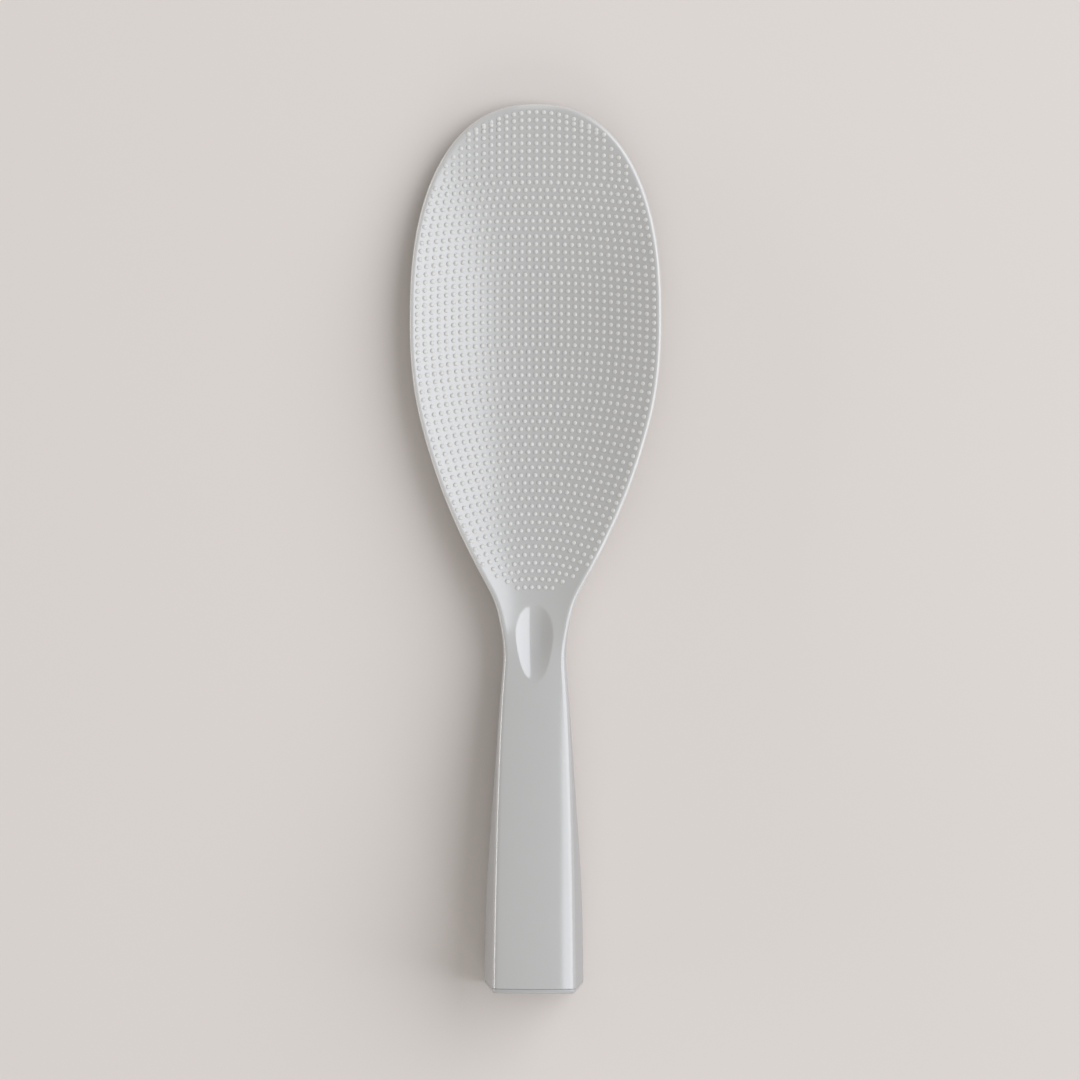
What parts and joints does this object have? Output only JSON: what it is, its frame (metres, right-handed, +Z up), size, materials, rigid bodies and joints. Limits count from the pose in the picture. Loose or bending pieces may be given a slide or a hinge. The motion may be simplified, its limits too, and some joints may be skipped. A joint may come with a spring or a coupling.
{
  "type": "rice paddle",
  "caption": "Self-standing rice paddle: shallow dotted oval scoop blade, thumb recess at the neck, deep square-footed hollow handle with a ballasted base cap.",
  "frame": {"origin": "on the surface that the paddle lies on, midway along its length and centred across it", "axes": "+X to the right across the blade, +Y from the foot towards the blade's tip, +Z up out of the bowl"},
  "size_m": [0.0626, 0.22, 0.027],
  "materials": {
    "body_plastic": "glossy moulded polypropylene, light grey",
    "cap_plastic": "glossy moulded polypropylene, light grey",
    "ballast_steel": "bare turned bar"
  },
  "bodies": {
    "root": {"paddle_body": "body_plastic", "base_cap": "cap_plastic", "ballast_slug": "ballast_steel"}
  },
  "joints": []
}
